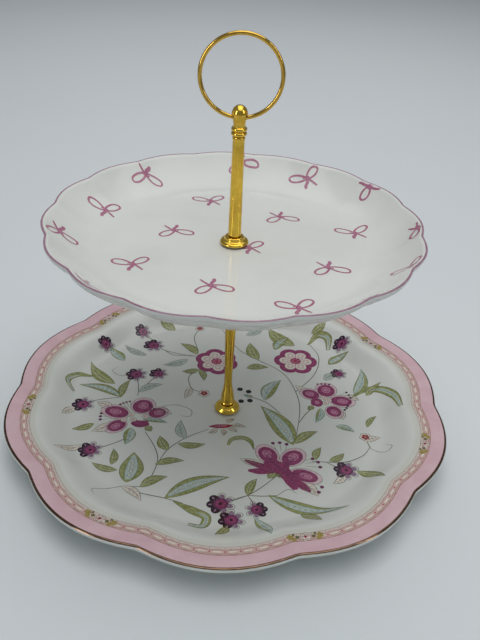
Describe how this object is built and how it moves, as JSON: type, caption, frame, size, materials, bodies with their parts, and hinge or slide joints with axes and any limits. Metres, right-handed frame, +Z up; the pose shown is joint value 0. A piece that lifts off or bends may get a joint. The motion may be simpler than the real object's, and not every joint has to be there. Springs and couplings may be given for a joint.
{
  "type": "tiered cake stand",
  "caption": "Tiered cake stand: scalloped round ceramic plates screwed to a slim metal column that ends in a finial with a swinging ring handle.",
  "frame": {"origin": "on the column's axis, at the bottom of the lower plate's foot ring", "axes": "+Z up along the column, -Y towards the viewer, +X to the viewer's right, in the plane of the ring handle"},
  "size_m": [0.256, 0.262, 0.2315],
  "materials": {
    "lower_glaze": "gloss",
    "upper_glaze": "gloss",
    "gold_plate": "polished",
    "plated_steel": "satin",
    "washer_rubber": "satin"
  },
  "bodies": {
    "lower_plate": {"lower_plate": "lower_glaze", "base_rubber_washer": "washer_rubber", "lower_rubber_washer": "washer_rubber"},
    "lower_column": {"lower_column": "gold_plate", "lower_cup_washer": "gold_plate", "column_stud": "plated_steel", "under_washer": "gold_plate", "under_rubber_washer": "washer_rubber"},
    "upper_plate": {"upper_plate": "upper_glaze"},
    "upper_seat": {"upper_cup_washer": "gold_plate", "upper_rubber_washer": "washer_rubber"},
    "upper_post": {"upper_column": "gold_plate", "finial": "gold_plate"},
    "handle_ring": {"handle_ring": "gold_plate"},
    "base_seat": {"base_washer": "plated_steel"},
    "base_bolt": {"base_bolt": "plated_steel"}
  },
  "joints": [
    {"name": "column_turn", "type": "hinge", "parent": "lower_plate", "child": "lower_column", "pos_m": [0, 0, 0.0145], "axis": [0, 0, 1], "continuous": true},
    {"name": "upper_plate_turn", "type": "hinge", "parent": "lower_column", "child": "upper_plate", "pos_m": [0, 0, 0.1186], "axis": [0, 0, 1], "continuous": true},
    {"name": "post_lift", "type": "slide", "parent": "lower_column", "child": "upper_seat", "axis": [0, 0, 1], "range_m": [0, 0.007]},
    {"name": "post_unscrew", "type": "hinge", "parent": "upper_seat", "child": "upper_post", "pos_m": [0, 0, 0.1276], "axis": [0, 0, 1], "range_deg": [0, 3600]},
    {"name": "ring_swing", "type": "hinge", "parent": "upper_post", "child": "handle_ring", "pos_m": [0, 0, 0.19095], "axis": [1, 0, 0], "range_deg": [-165, 165]},
    {"name": "bolt_drop", "type": "slide", "parent": "lower_column", "child": "base_seat", "axis": [0, 0, -1], "range_m": [0, 0.007]},
    {"name": "bolt_unscrew", "type": "hinge", "parent": "base_seat", "child": "base_bolt", "pos_m": [0, 0, 0.0008], "axis": [0, 0, -1], "range_deg": [0, 3600]}
  ],
  "couplings": [
    {"joint": "post_unscrew", "follows": "post_lift", "rad_per_m": 8976},
    {"joint": "bolt_unscrew", "follows": "bolt_drop", "rad_per_m": 8976}
  ]
}
